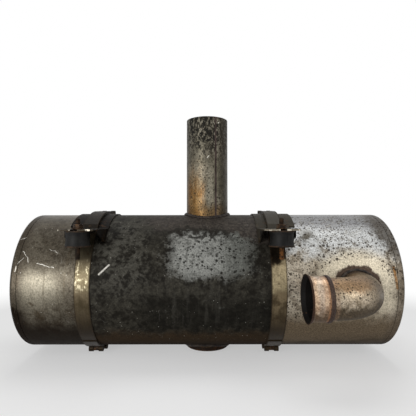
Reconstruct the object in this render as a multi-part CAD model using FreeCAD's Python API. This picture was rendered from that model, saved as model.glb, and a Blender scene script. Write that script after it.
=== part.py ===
import FreeCAD, Part
import math
import os

# Round truck muffler that hangs on four rubber isolators: a long drum with rolled ends, an outlet
# pipe that runs right through it from top to bottom, an inlet elbow on the front, and two strap
# clamps over saddle brackets. All sizes are millimetres.
#
# The origin is the centre of the four lower isolator studs, in the plane that the vehicle's bracket
# touches. +X runs along the drum towards the inlet, +Y to the rear and +Z up, along the outlet pipe.

V = FreeCAD.Vector
X_AXIS, Y_AXIS, Z_AXIS = V(1, 0, 0), V(0, 1, 0), V(0, 0, 1)

# Drum
shell_r = 153.0            # outer radius, a 12 inch class body
shell_wall = 2.0
drum_length = 810.0        # over both heads
seam_from_end = 16.0       # the head's flange reaches this far along the drum
seam_gap = 1.0             # open groove beside the flange
head_wall = 2.0
head_corner_r = 7.0        # outside of the head's rounded edge
neck_to_face = 9.0         # the necked shell stops this far from the outer face
dish_depth = 5.0           # pressed recess in each head
dish_from_rim = 30.0       # where the recess starts, from the drum's outer surface
dish_slope_width = 13.0

# Outlet pipe, upright through the drum
outlet_x = 54.0            # from the middle between the clamps
outlet_r = 50.0
outlet_wall = 2.0
outlet_above_drum = 231.0
outlet_stub = 5.0          # how far it stands out below
outlet_cap_wall = 2.5      # bottom cap, welded across the pipe's end
weld_width = 4.5           # weld bead round each pipe where it leaves the drum
weld_height = 4.0
weld_edge_r = 2.4          # rounding of the bead's outer edge

# Inlet elbow on the front, and its flared adapter
inlet_from_end = 98.5      # from the drum's right face
inlet_drop = 4.0           # below the drum's axis
inlet_r = 38.1             # 3 inch tube
inlet_wall = 2.0
inlet_bend_r = 76.2
inlet_leg_from_drum = 85.0
inlet_inside = 31.0        # length of the elbow's end past the drum's surface
elbow_straight = 19.3      # after the bend
adapter_lap = 9.5          # over the elbow's tube
adapter_reach = 31.0       # from the elbow's end to the mouth
adapter_wall = 2.2
socket_clearance = 0.5     # the adapter's socket is this much wider than the elbow's tube
flare_length = 8.0
flare_rise = 4.2
ring_width = 8.0           # brazed ring at the adapter's end
ring_rise = 1.8
ring_bevel = 2.0           # along the tube, at each side of the ring

# Clamps: spacing, straps and saddles
clamp_spacing = 403.0
strap_width = 32.0
strap_wall = 2.0
saddle_wall = 3.0
saddle_inboard = 39.0      # saddle edge from the strap's middle, towards the outlet pipe
saddle_outboard = 46.0
shelf_outboard = 33.0
saddle_wing_end = 36.0     # degrees from the top, where the outboard wing stops
shelf_past_isolator = 24.5 # the shelf's front edge, from the middle of the stud
shelf_below_crest = 34.5   # its underside, from the drum's top
shelf_bend_r = 9.0         # at the middle of the sheet
shelf_corner_r = 4.0
stud_slot_width = 13.0
rib_rise = 4.5             # pressed rib that lifts the strap off the saddle
rib_width = 30.0
rib_half_angle = 36.0      # degrees from the top, where the strap leaves the rib
rib_edge_angle = 0.4       # degrees by which the rib stops short of that
window_clearance = 1.0     # round the strap where it passes the shelf
inboard_web_past_drum = 37.0   # gusset under the shelf, in front of the drum
inboard_web_drop = 28.0
outboard_web_past_drum = 9.0
outboard_web_drop = 24.0
outboard_web_tip = 14.0    # height of its front edge, below the shelf
outboard_web_foot = 7.0    # its lower corner, from the drum

# Strap joints: a T-bolt pulls two folded loops together
bolt_r = 3.0               # M6
bolt_nut_across = 10.0
bolt_nut_height = 5.0
bolt_tail = 8.0            # thread past the nut
bolt_hole_clearance = 0.3
nut_lift = 0.3             # between the nut and the strap under it
window_play = 0.5          # each side of the nut, in the loop's opening
loop_slope_angle = 4.0     # degrees over which the fold comes down from the loop
loop_tail_angle = 9.0      # degrees of strap that lie folded back on itself
short_tail_angle = 1.5     # the same where the rib ends close to the loop
long_tail_angle = 18.0     # the same at the front strap's lower end
trunnion_flat = 0.9        # depth of the flat under the nut
bottom_head_angle = -164.0 # degrees from the top, minus is to the front
bottom_nut_angle = -177.0
top_head_angle = 19.5
top_nut_angle = 30.5
cross_pin_play = 1.0       # the cross head and trunnion stop short of the strap's edges

# Isolators
isolator_height = 32.0     # over both plates
isolator_from_drum = 26.0  # stud's middle, in front of the drum
isolator_plate_r = 25.5
isolator_plate_wall = 2.5
rubber_end_r = 24.5
rubber_waist_r = 23.0
stud_r = 5.0               # M10
held_thread_r = 4.5        # the same thread at its mean depth, where a nut holds it
upper_stud_length = 24.5   # above the shelf's underside
lower_stud_length = 27.5
stud_chamfer = 1.0
washer_r = 10.5
washer_wall = 2.0
washer_play = 0.25         # radial, round the stud
stud_nut_across = 17.0
stud_nut_height = 8.0
nut_chamfer = 1.0
thread_play = 0.1          # radial, between a nut's bore and its thread

# Inside: two baffles, transfer and return tubes
baffle_wall = 2.0
baffle_flange = 15.0
transfer_r = 32.0
transfer_wall = 1.8
transfer_from_axis = 100.0
transfer_past_right = 35.0
transfer_past_left = 60.0
return_from_axis = 95.0
return_outside = 30.0
return_inside = 110.0
inner_sleeve_wall = 1.8    # perforated tube pushed over the elbow's inner end
sleeve_from_wall = 15.0    # its open end, from the drum's surface
perforation_r = 4.0
outlet_perforated_half = 100.0
outlet_perforation_pitch = 22.0
outlet_perforation_count = 10   # in each row
inlet_perforated_half = 80.0
inlet_perforation_pitch = 20.0
inlet_perforation_count = 8

# Worked out from the sizes above
shelf_above_axis = shell_r - shelf_below_crest
axis_z = isolator_height - shelf_above_axis
shell_inner_r = shell_r - shell_wall
dish_outer_r = shell_r - dish_from_rim
drum_left = outlet_x - drum_length / 2
drum_right = outlet_x + drum_length / 2
outlet_foot = V(outlet_x, 0, axis_z - shell_r - outlet_stub)
outlet_length = outlet_stub + 2 * shell_r + outlet_above_drum
inlet_x = drum_right - inlet_from_end
inlet_z = axis_z - inlet_drop
inlet_leg_y = -shell_r - inlet_leg_from_drum
elbow_end_x = inlet_x - inlet_bend_r - elbow_straight
isolator_from_axis = shell_r + isolator_from_drum
shelf_reach = isolator_from_axis + shelf_past_isolator
clamp_xs = {"left": -clamp_spacing / 2, "right": clamp_spacing / 2}
inboard_way = {"left": 1, "right": -1}
strap_on_rib_r = shell_r + saddle_wall + rib_rise
shelf_z = axis_z + shelf_above_axis
loop_pin_r = bolt_nut_across / 2 + nut_lift
loop_r = loop_pin_r + strap_wall
nut_seat = loop_pin_r - trunnion_flat
bolt_window_width = bolt_nut_across / math.cos(math.radians(30)) + 2 * window_play
strap_lift_off = rib_half_angle + math.degrees(math.acos(shell_r / strap_on_rib_r))


def cylinder(base, direction, radius, length):
    return Part.makeCylinder(radius, length, base, direction)


def tube(base, direction, outer, inner, length):
    return cylinder(base, direction, outer, length).cut(cylinder(base, direction, inner, length))


def box(x0, x1, y0, y1, z0, z1):
    return Part.makeBox(abs(x1 - x0), y1 - y0, z1 - z0, V(min(x0, x1), y0, z0))


def fused(solids):
    body = solids[0]
    for solid in solids[1:]:
        body = body.fuse(solid)
    return body.removeSplitter()


def turned(points, base, axis_dir, radial_dir):
    """Solid of revolution of (along, radius) points about the axis through base."""
    corners = [base + axis_dir * along + radial_dir * radius for along, radius in points]
    wire = Part.makePolygon(corners + [corners[0]])
    return Part.Face(wire).revolve(base, axis_dir, 360)


def drum_point(radius, degrees, x=0.0):
    """Point on a circle about the drum's axis, by its angle from the top towards the rear."""
    angle = math.radians(degrees)
    return V(x, radius * math.sin(angle), axis_z + radius * math.cos(angle))


def drum_sector(r_in, r_out, start, end, x0, x1):
    """Curved sheet about the drum's axis between two angles from the top."""
    middle = (start + end) / 2
    low = min(x0, x1)
    edges = [
        Part.Arc(*[drum_point(r_out, a, low) for a in (start, middle, end)]).toShape(),
        Part.LineSegment(drum_point(r_out, end, low), drum_point(r_in, end, low)).toShape(),
        Part.Arc(*[drum_point(r_in, a, low) for a in (end, middle, start)]).toShape(),
        Part.LineSegment(drum_point(r_in, start, low), drum_point(r_out, start, low)).toShape(),
    ]
    return Part.Face(Part.Wire(edges)).extrude(V(abs(x1 - x0), 0, 0))


def prism(corners, x0, x1):
    """Solid of constant section along X from (y, z) corners."""
    low = min(x0, x1)
    points = [V(low, y, z) for y, z in corners]
    return Part.Face(Part.makePolygon(points + [points[0]])).extrude(V(abs(x1 - x0), 0, 0))


def flat_strip(start, end, wall, x0, x1):
    """Flat sheet along X whose middle runs from start to end in the YZ plane."""
    along = end - start
    side = V(0, -along.z, along.y).normalize() * (wall / 2)
    corners = [start + side, end + side, end - side, start - side]
    return prism([(p.y, p.z) for p in corners], x0, x1)


def hexagon_nut(base, direction, across, height, thread_r):
    """Nut with chamfered corners that stands on base and points along direction."""
    corner_r = across / math.sqrt(3)
    corners = [V(corner_r * math.cos(math.radians(60 * i)), corner_r * math.sin(math.radians(60 * i)), 0)
               for i in range(7)]
    blank = Part.Face(Part.makePolygon(corners)).extrude(V(0, 0, height))
    half = across / 2
    shoulder = half + nut_chamfer * math.sqrt(3)
    rounding = turned([(0, 0), (0, half), (nut_chamfer, shoulder), (height - nut_chamfer, shoulder),
                       (height, half), (height, 0)], V(0, 0, 0), Z_AXIS, X_AXIS)
    nut = blank.common(rounding).cut(cylinder(V(0, 0, 0), Z_AXIS, thread_r + thread_play, height))
    nut.Placement = FreeCAD.Placement(base, FreeCAD.Rotation(Z_AXIS, direction))
    return nut


def drum_cylinder(radius):
    return cylinder(V(drum_left, 0, axis_z), X_AXIS, radius, drum_length)


def weld_bead(base, direction, pipe_r, inner_r):
    """Rounded weld on the drum's surface round a pipe that leaves it. It belongs to the pipe."""
    ring = tube(base, direction, pipe_r + weld_width, inner_r, shell_r + 2 * weld_height)
    bead = ring.common(drum_cylinder(shell_r + weld_height)).cut(drum_cylinder(shell_r))
    crest = [edge for edge in bead.Edges
             if all(math.hypot(v.Y, v.Z - axis_z) > shell_r + weld_height - 0.01 for v in edge.Vertexes)
             and edge.Length > 2 * math.pi * (pipe_r + weld_width / 2) / 4]
    outer = [edge for edge in crest if on_outer_side(edge, base, direction, pipe_r + weld_width)]
    return bead.makeFillet(weld_edge_r, outer)


def on_outer_side(edge, base, direction, radius):
    """Whether an edge's middle lies at a radius from the line through base."""
    spot = edge.valueAt((edge.FirstParameter + edge.LastParameter) / 2) - base
    across = spot - direction * spot.dot(direction)
    return abs(across.Length - radius) < 0.1


def shell():
    """Rolled drum, necked at both ends for the heads, with a hole for each pipe."""
    step = drum_length / 2 - seam_from_end
    neck_end = drum_length / 2 - neck_to_face
    neck_r = shell_r - head_wall
    half = [(step, shell_r), (step, neck_r), (neck_end, neck_r), (neck_end, neck_r - shell_wall),
            (step - shell_wall, neck_r - shell_wall), (step - shell_wall, shell_inner_r)]
    profile = half + [(-along, radius) for along, radius in reversed(half)]
    body = turned(profile, V(outlet_x, 0, axis_z), X_AXIS, Z_AXIS)
    body = body.cut(cylinder(V(outlet_x, 0, axis_z - shell_r), Z_AXIS, outlet_r, 2 * shell_r))
    return body.cut(cylinder(V(inlet_x, 0, inlet_z), -Y_AXIS, inlet_r, shell_r))


def head(face_x, outward):
    """Pressed end cap: a dished disc whose rounded rim folds over the necked shell."""
    def outline(offset):
        corner_r = head_corner_r - offset
        centre = V(-head_corner_r, 0, shell_r - head_corner_r)
        half_turn = V(math.cos(math.radians(45)), 0, math.sin(math.radians(45))) * corner_r
        return [
            V(-dish_depth - offset, 0, 0), V(-dish_depth - offset, 0, dish_outer_r - dish_slope_width),
            V(-offset, 0, dish_outer_r), V(-offset, 0, shell_r - head_corner_r),
            centre + half_turn, V(-head_corner_r, 0, shell_r - offset),
            V(seam_gap - seam_from_end, 0, shell_r - offset),
        ]
    out, inn = outline(0.0), outline(head_wall)
    edges = [
        Part.LineSegment(out[0], out[1]), Part.LineSegment(out[1], out[2]),
        Part.LineSegment(out[2], out[3]), Part.Arc(out[3], out[4], out[5]),
        Part.LineSegment(out[5], out[6]), Part.LineSegment(out[6], inn[6]),
        Part.LineSegment(inn[6], inn[5]), Part.Arc(inn[5], inn[4], inn[3]),
        Part.LineSegment(inn[3], inn[2]), Part.LineSegment(inn[2], inn[1]),
        Part.LineSegment(inn[1], inn[0]), Part.LineSegment(inn[0], out[0]),
    ]
    cap = Part.Face(Part.Wire([edge.toShape() for edge in edges])).revolve(V(0, 0, 0), X_AXIS, 360)
    if outward < 0:
        cap.rotate(V(0, 0, 0), Z_AXIS, 180)
    cap.translate(V(face_x, 0, axis_z))
    return cap


def perforations(base, along, side, radius, half, pitch, count):
    """Rows of round holes across a tube, as rods that pass through both of its walls."""
    rods = []
    rows = int(2 * half / pitch) + 1
    for row in range(rows):
        centre = base + along * (row * pitch - (rows - 1) * pitch / 2)
        for spoke in range(count // 2):
            turn = FreeCAD.Rotation(along, 360.0 * spoke / count + (180.0 / count) * (row % 2))
            way = turn.multVec(side)
            rods.append(cylinder(centre - way * radius, way, perforation_r, 2 * radius))
    return Part.makeCompound(rods)


def outlet_pipe():
    """One tube from the bottom stub to the top, perforated in the middle chamber, with its welds."""
    centre = V(outlet_x, 0, axis_z)
    pipe = tube(outlet_foot, Z_AXIS, outlet_r, outlet_r - outlet_wall, outlet_length)
    holes = perforations(centre, Z_AXIS, X_AXIS, outlet_r + outlet_wall,
                         outlet_perforated_half, outlet_perforation_pitch, outlet_perforation_count)
    welds = [weld_bead(centre, way, outlet_r, outlet_r - outlet_wall / 2) for way in (Z_AXIS, -Z_AXIS)]
    return fused([pipe.cut(holes)] + welds)


def outlet_cap():
    """Plate welded across the pipe's bottom end, its edge bevelled by the weld."""
    bevel = outlet_cap_wall / 2
    profile = [(-outlet_cap_wall, 0), (-outlet_cap_wall, outlet_r - bevel), (-bevel, outlet_r),
               (0, outlet_r), (0, 0)]
    return turned(profile, outlet_foot, Z_AXIS, X_AXIS)


def inlet_elbow():
    """Mandrel-bent tube from inside the drum, out to the front and round to the left, with its weld."""
    bend_y = inlet_leg_y + inlet_bend_r
    inner_y = -shell_r + inlet_inside
    swing = inlet_bend_r * math.cos(math.radians(45))
    centre = V(inlet_x - inlet_bend_r, bend_y, inlet_z)
    path = Part.Wire([
        Part.LineSegment(V(inlet_x, inner_y, inlet_z), V(inlet_x, bend_y, inlet_z)).toShape(),
        Part.Arc(V(inlet_x, bend_y, inlet_z), centre + V(swing, -swing, 0),
                 V(inlet_x - inlet_bend_r, inlet_leg_y, inlet_z)).toShape(),
        Part.LineSegment(V(inlet_x - inlet_bend_r, inlet_leg_y, inlet_z),
                         V(elbow_end_x, inlet_leg_y, inlet_z)).toShape(),
    ])
    def swept(radius):
        ring = Part.Wire(Part.makeCircle(radius, V(inlet_x, inner_y, inlet_z), Y_AXIS))
        return path.makePipeShell([ring], True, False)
    weld = weld_bead(V(inlet_x, 0, inlet_z), -Y_AXIS, inlet_r, inlet_r - inlet_wall / 2)
    return fused([swept(inlet_r).cut(swept(inlet_r - inlet_wall)), weld])


def inlet_adapter():
    """Short spool brazed over the elbow's end, with a flared mouth for the next pipe."""
    length = adapter_reach + adapter_lap
    socket_r = inlet_r + socket_clearance
    outer_r = socket_r + adapter_wall
    profile = [
        (0, socket_r + flare_rise), (flare_length, socket_r), (adapter_reach, socket_r),
        (adapter_reach, inlet_r), (length, inlet_r), (length, outer_r),
        (length - ring_bevel, outer_r + ring_rise),
        (length - ring_width + ring_bevel, outer_r + ring_rise),
        (length - ring_width, outer_r), (flare_length, outer_r), (0, outer_r + flare_rise),
    ]
    base = V(elbow_end_x - adapter_reach, inlet_leg_y, inlet_z)
    return turned(profile, base, X_AXIS, Z_AXIS)


def inlet_sleeve():
    """Perforated tube inside, pushed over the elbow's inner end and stopped by the rear wall."""
    start = V(inlet_x, -shell_r + sleeve_from_wall, inlet_z)
    sleeve = tube(start, Y_AXIS, inlet_r + inner_sleeve_wall, inlet_r, 2 * shell_r)
    sleeve = sleeve.common(drum_cylinder(shell_inner_r))
    holes = perforations(V(inlet_x, 0, inlet_z), Y_AXIS, X_AXIS, inlet_r + 2 * inner_sleeve_wall,
                         inlet_perforated_half, inlet_perforation_pitch, inlet_perforation_count)
    return sleeve.cut(holes)


def baffle(x, flange_way, openings):
    """Pressed disc across the drum, with a flange along the wall and a hole for each tube."""
    disc = cylinder(V(x - baffle_wall / 2, 0, axis_z), X_AXIS, shell_inner_r, baffle_wall)
    flange_x = x if flange_way > 0 else x - baffle_flange
    rim = tube(V(flange_x, 0, axis_z), X_AXIS, shell_inner_r, shell_inner_r - baffle_wall, baffle_flange)
    plate = fused([disc, rim])
    for y, up in openings:
        plate = plate.cut(cylinder(V(x - baffle_flange, y, axis_z + up), X_AXIS, transfer_r,
                                   2 * baffle_flange))
    return plate


def long_tube(x0, x1, y, up):
    return tube(V(x0, y, axis_z + up), X_AXIS, transfer_r, transfer_r - transfer_wall, x1 - x0)


def saddle(side):
    """Bracket pressed from one sheet: it lies on the drum's top and ends in two isolator shelves."""
    xc, way = clamp_xs[side], inboard_way[side]
    inboard, outboard = xc + way * saddle_inboard, xc - way * shelf_outboard
    wing = xc - way * saddle_outboard
    middle_r = shell_r + saddle_wall / 2
    half = saddle_wall / 2
    middle_z = shelf_above_axis + half
    centre_y = math.sqrt((middle_r + shelf_bend_r) ** 2 - (middle_z + shelf_bend_r) ** 2)
    bend_angle = math.degrees(math.atan2(centre_y, middle_z + shelf_bend_r))
    outer_r = shell_r + saddle_wall
    rib_angle = rib_half_angle - rib_edge_angle

    pieces = [
        drum_sector(shell_r, outer_r, -bend_angle, bend_angle, inboard, outboard),
        drum_sector(shell_r, outer_r, -saddle_wing_end, saddle_wing_end, outboard, wing),
        drum_sector(shell_r, strap_on_rib_r, -rib_angle, rib_angle,
                    xc - rib_width / 2, xc + rib_width / 2),
    ]
    for rear in (-1, 1):
        pieces.append(shelf(rear, inboard, outboard, xc, centre_y, bend_angle))
        pieces.append(web(rear, inboard, inboard - way * saddle_wall, inboard_web_past_drum,
                          inboard_web_drop, 0.0, 0.0))
        pieces.append(web(rear, outboard, outboard + way * saddle_wall, outboard_web_past_drum,
                          outboard_web_drop, outboard_web_tip, outboard_web_foot))
    sheet = fused(pieces)

    hollow_end = rib_angle - math.degrees(saddle_wall / shell_r)
    hollow = rib_width / 2 - saddle_wall
    sheet = sheet.cut(drum_sector(shell_r, strap_on_rib_r - saddle_wall, -hollow_end, hollow_end,
                                  xc - hollow, xc + hollow))
    gap = strap_width / 2 + window_clearance
    near = drum_point(strap_on_rib_r, rib_half_angle)
    far = strap_reach(shelf_above_axis) + window_clearance
    for rear in (-1, 1):
        y0, y1 = sorted((rear * near.y, rear * far))
        sheet = sheet.cut(box(xc - gap, xc + gap, y0, y1, shelf_z, near.z))
    return sheet


def shelf(rear, inboard, outboard, xc, centre_y, bend_angle):
    """Flat end of the saddle, with its bend, rounded corners and open stud slot."""
    low_x, high_x = min(inboard, outboard), max(inboard, outboard)
    half = saddle_wall / 2
    middle_z = shelf_above_axis + half
    centre = V(low_x, rear * centre_y, axis_z + middle_z + shelf_bend_r)

    def bend_points(radius):
        way = [180 - bend_angle, 180 - bend_angle / 2, 180]
        return [centre + V(0, rear * radius * -math.sin(math.radians(a)),
                           radius * math.cos(math.radians(a))) for a in way]
    upper, lower = bend_points(shelf_bend_r - half), bend_points(shelf_bend_r + half)
    bend = Part.Face(Part.Wire([
        Part.Arc(*upper).toShape(), Part.LineSegment(upper[2], lower[2]).toShape(),
        Part.Arc(*reversed(lower)).toShape(), Part.LineSegment(lower[0], upper[0]).toShape(),
    ])).extrude(V(high_x - low_x, 0, 0))

    y0, y1 = sorted((rear * centre_y, rear * shelf_reach))
    plate = box(low_x, high_x, y0, y1, shelf_z, shelf_z + saddle_wall)
    front = [edge for edge in plate.Edges
             if abs(edge.CenterOfMass.y - rear * shelf_reach) < 0.01
             and abs(edge.CenterOfMass.z - shelf_z - half) < 0.01]
    plate = plate.makeFillet(shelf_corner_r, front)
    slot_y = rear * isolator_from_axis
    s0, s1 = sorted((slot_y, rear * (shelf_reach + shelf_corner_r)))
    plate = plate.cut(box(xc - stud_slot_width / 2, xc + stud_slot_width / 2, s0, s1, shelf_z,
                          shelf_z + saddle_wall))
    plate = plate.cut(cylinder(V(xc, slot_y, shelf_z), Z_AXIS, stud_slot_width / 2, saddle_wall))
    return bend.fuse(plate)


def web(rear, x0, x1, past_drum, drop, tip, foot):
    """Gusset folded down from the shelf's edge and cut to the drum's curve."""
    top = shelf_z + saddle_wall
    bottom = shelf_z - drop
    reach = shell_r + past_drum
    foot_y = math.sqrt(shell_r ** 2 - (shelf_above_axis - drop) ** 2) + foot
    corners = [(0, top), (rear * reach, top), (rear * reach, shelf_z - tip),
               (rear * foot_y, bottom), (0, bottom)]
    return prism(corners, x0, x1).cut(drum_cylinder(shell_r))


def strap_radius(degrees):
    """Radius of the strap's inner face: on the rib, in the straight run, or on the drum."""
    turn = abs((degrees + 180) % 360 - 180)
    if turn <= rib_half_angle:
        return strap_on_rib_r
    if turn < strap_lift_off:
        return shell_r / math.cos(math.radians(strap_lift_off - turn))
    return shell_r


def strap_reach(up):
    """Distance of the straight run's outer face from the drum's middle, at a height above the axis."""
    lift_off = math.radians(strap_lift_off)
    return (shell_r + strap_wall - up * math.cos(lift_off)) / math.sin(lift_off)


def pin_centre(degrees, x=0.0):
    """Middle of the loop at an angle, its strap tangent to the strap's inner face."""
    return drum_point(strap_radius(degrees) + loop_r, degrees, x)


def strap_loop(degrees, back, tail_angle, xc):
    """Folded end of a strap: the loop round its pin, the fold's slope and its welded tail."""
    x0, x1 = xc - strap_width / 2, xc + strap_width / 2
    centre = pin_centre(degrees, x0)
    inner_r = strap_radius(degrees)
    ring = tube(centre, X_AXIS, loop_r, loop_pin_r, strap_width)
    tail_start = degrees + back * loop_slope_angle
    tail_end = tail_start + back * tail_angle
    tail_r = inner_r + strap_wall
    tail = drum_sector(tail_r, tail_r + strap_wall, min(tail_start, tail_end),
                       max(tail_start, tail_end), x0, x1)
    low = drum_point(tail_r + strap_wall / 2, tail_start, x0)
    to_pin = centre - low
    around = loop_pin_r + strap_wall / 2
    lean = math.asin(around / to_pin.Length)
    turn = FreeCAD.Rotation(X_AXIS, math.degrees(lean) * back)
    toward = turn.multVec(V(to_pin).normalize())
    touch = low + toward * (to_pin.Length * math.cos(lean))
    slope = flat_strip(low, touch, strap_wall, x0, x1)
    joint = cylinder(low, X_AXIS, strap_wall / 2, strap_width)
    loop = fused([ring, tail, slope, joint])
    return loop.cut(bolt_window(degrees, xc))


def bolt_window(degrees, xc):
    """Opening through a loop, above the strap itself, for the bolt and its nut."""
    floor_r = strap_radius(degrees) + strap_wall
    reach = 2 * math.degrees(loop_r / floor_r)
    half = bolt_window_width / 2
    return drum_sector(floor_r, floor_r + 3 * loop_r, degrees - reach, degrees + reach, xc - half, xc + half)


def strap_band(start, end, xc):
    """Plain run of the strap from one angle to another, over the rib where it passes it."""
    x0, x1 = xc - strap_width / 2, xc + strap_width / 2
    stations = [-strap_lift_off, -rib_half_angle, rib_half_angle, strap_lift_off]
    inside = [a for a in stations if start < a < end]
    runs = []
    marks = [start] + inside + [end]
    for a, b in zip(marks, marks[1:]):
        middle = (a + b) / 2
        if rib_half_angle < abs(middle) < strap_lift_off:
            run = [drum_point(strap_radius(angle) + strap_wall / 2, angle) for angle in (a, b)]
            runs.append(flat_strip(run[0], run[1], strap_wall, x0, x1))
            corner = run[0] if abs(a) < abs(b) else run[1]
            runs.append(cylinder(V(x0, corner.y, corner.z), X_AXIS, strap_wall / 2, strap_width))
        else:
            radius = strap_radius(middle)
            runs.append(drum_sector(radius, radius + strap_wall, a, b, x0, x1))
    return runs


def strap(side, part):
    """One half of a clamp strap, with a loop at each end."""
    xc = clamp_xs[side]
    if part == "front":
        start, end, first_tail = bottom_head_angle, top_head_angle, long_tail_angle
    else:
        start, end, first_tail = top_nut_angle, 360 + bottom_nut_angle, short_tail_angle
    loops = [strap_loop(start, 1, first_tail, xc), strap_loop(end, -1, loop_tail_angle, xc)]
    return fused(strap_band(start, end, xc) + loops)


def joint_angles(place):
    return {"top": (top_head_angle, top_nut_angle),
            "bottom": (bottom_head_angle, bottom_nut_angle)}[place]


def bolt_line(side, place):
    """Centre of the bolt's cross head, and the way from it to the trunnion with its distance."""
    head_angle, nut_angle = joint_angles(place)
    start = pin_centre(head_angle, clamp_xs[side])
    run = pin_centre(nut_angle, clamp_xs[side]) - start
    return start, V(run).normalize(), run.Length


def t_bolt(side, place):
    """Bolt whose cross head lies in one loop and whose thread passes the trunnion in the other."""
    start, way, spacing = bolt_line(side, place)
    cross = strap_width / 2 - cross_pin_play
    bar = cylinder(start - X_AXIS * cross, X_AXIS, loop_pin_r, 2 * cross)
    length = spacing + loop_pin_r + bolt_nut_height + bolt_tail
    return fused([bar, cylinder(start, way, bolt_r, length)])


def trunnion(side, place):
    """Round cross bar in the loop, with a flat for the nut and a hole for the bolt."""
    start, way, spacing = bolt_line(side, place)
    cross = strap_width / 2 - cross_pin_play
    middle = start + way * spacing
    bar = cylinder(middle - X_AXIS * cross, X_AXIS, loop_pin_r, 2 * cross)
    seat = cylinder(middle + way * nut_seat, way, 2 * loop_pin_r, trunnion_flat)
    hole = cylinder(middle - way * 2 * loop_pin_r, way, bolt_r + bolt_hole_clearance, 4 * loop_pin_r)
    return bar.cut(seat).cut(hole)


def strap_nuts():
    nuts = []
    for side in clamp_xs:
        for place in ("top", "bottom"):
            start, way, spacing = bolt_line(side, place)
            seat = start + way * (spacing + nut_seat)
            nuts.append(hexagon_nut(seat, way, bolt_nut_across, bolt_nut_height, bolt_r))
    return Part.makeCompound(nuts)


def isolator_spot(side, row, z):
    return V(clamp_xs[side], isolator_from_axis * {"front": -1, "rear": 1}[row], z)


def stud_plate(spot, way, thread_r, length):
    """Round plate with a stud welded in its middle. The plate grows from the spot against way."""
    plate = cylinder(spot - way * isolator_plate_wall, way, isolator_plate_r, isolator_plate_wall)
    thread = turned([(-isolator_plate_wall / 2, 0), (-isolator_plate_wall / 2, thread_r),
                     (length - stud_chamfer, thread_r), (length, thread_r - stud_chamfer), (length, 0)],
                    spot, way, X_AXIS)
    return fused([plate, thread])


def rubber(spot):
    """Rubber block bonded between the two plates, slightly waisted."""
    low = isolator_plate_wall
    high = isolator_height - isolator_plate_wall
    middle = (low + high) / 2
    points = [V(0, 0, low), V(rubber_end_r, 0, low), V(rubber_waist_r, 0, middle),
              V(rubber_end_r, 0, high), V(0, 0, high)]
    edges = [Part.LineSegment(points[0], points[1]).toShape(),
             Part.Arc(points[1], points[2], points[3]).toShape(),
             Part.LineSegment(points[3], points[4]).toShape(),
             Part.LineSegment(points[4], points[0]).toShape()]
    block = Part.Face(Part.Wire(edges)).revolve(V(0, 0, 0), Z_AXIS, 360)
    block.translate(spot)
    return block


def stud_washers(z):
    washers = [tube(isolator_spot(side, row, z), Z_AXIS, washer_r, stud_r + washer_play, washer_wall)
               for side in clamp_xs for row in ("front", "rear")]
    return Part.makeCompound(washers)


def stud_nuts(z):
    nuts = [hexagon_nut(isolator_spot(side, row, z), Z_AXIS, stud_nut_across, stud_nut_height,
                        held_thread_r)
            for side in clamp_xs for row in ("front", "rear")]
    return Part.makeCompound(nuts)


def build_nodes():
    nodes = {
        "shell": shell(),
        "head_left": head(drum_left, -1),
        "head_right": head(drum_right, 1),
        "outlet_pipe": outlet_pipe(),
        "outlet_bottom_cap": outlet_cap(),
        "inlet_elbow": inlet_elbow(),
        "inlet_adapter": inlet_adapter(),
        "inlet_inner_tube": inlet_sleeve(),
    }
    transfers = [(-transfer_from_axis, 0.0), (transfer_from_axis, 0.0)]
    returns = [(0.0, return_from_axis), (0.0, -return_from_axis)]
    left_x, right_x = clamp_xs["left"], clamp_xs["right"]
    nodes["baffle_left"] = baffle(left_x, 1, transfers + returns)
    nodes["baffle_right"] = baffle(right_x, -1, transfers)
    for name, (y, up) in zip(("front", "rear"), transfers):
        nodes["transfer_tube_" + name] = long_tube(left_x - transfer_past_left,
                                                   right_x + transfer_past_right, y, up)
    for name, (y, up) in zip(("upper", "lower"), returns):
        nodes["return_tube_" + name] = long_tube(left_x - return_outside, left_x + return_inside, y, up)
    for side in clamp_xs:
        nodes["saddle_" + side] = saddle(side)
        nodes["strap_front_" + side] = strap(side, "front")
        nodes["strap_rear_" + side] = strap(side, "rear")
        for place in ("top", "bottom"):
            nodes["t_bolt_" + place + "_" + side] = t_bolt(side, place)
            nodes["trunnion_" + place + "_" + side] = trunnion(side, place)
        for row in ("front", "rear"):
            name = row + "_" + side
            nodes["isolator_rubber_" + name] = rubber(isolator_spot(side, row, 0))
            nodes["isolator_upper_stud_" + name] = stud_plate(
                isolator_spot(side, row, isolator_height), Z_AXIS, held_thread_r, upper_stud_length)
            nodes["isolator_lower_stud_" + name] = stud_plate(
                isolator_spot(side, row, 0), -Z_AXIS, stud_r, lower_stud_length)
    shelf_top = shelf_z + saddle_wall
    nodes["strap_nuts"] = strap_nuts()
    nodes["stud_washers"] = stud_washers(shelf_top)
    nodes["stud_nuts"] = stud_nuts(shelf_top + washer_wall)
    return nodes


os.makedirs("parts", exist_ok=True)
for node, shape in build_nodes().items():
    shape.exportStep("parts/" + node + ".step")
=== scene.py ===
import math
import random

import bpy
from mathutils import Matrix, Vector


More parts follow.
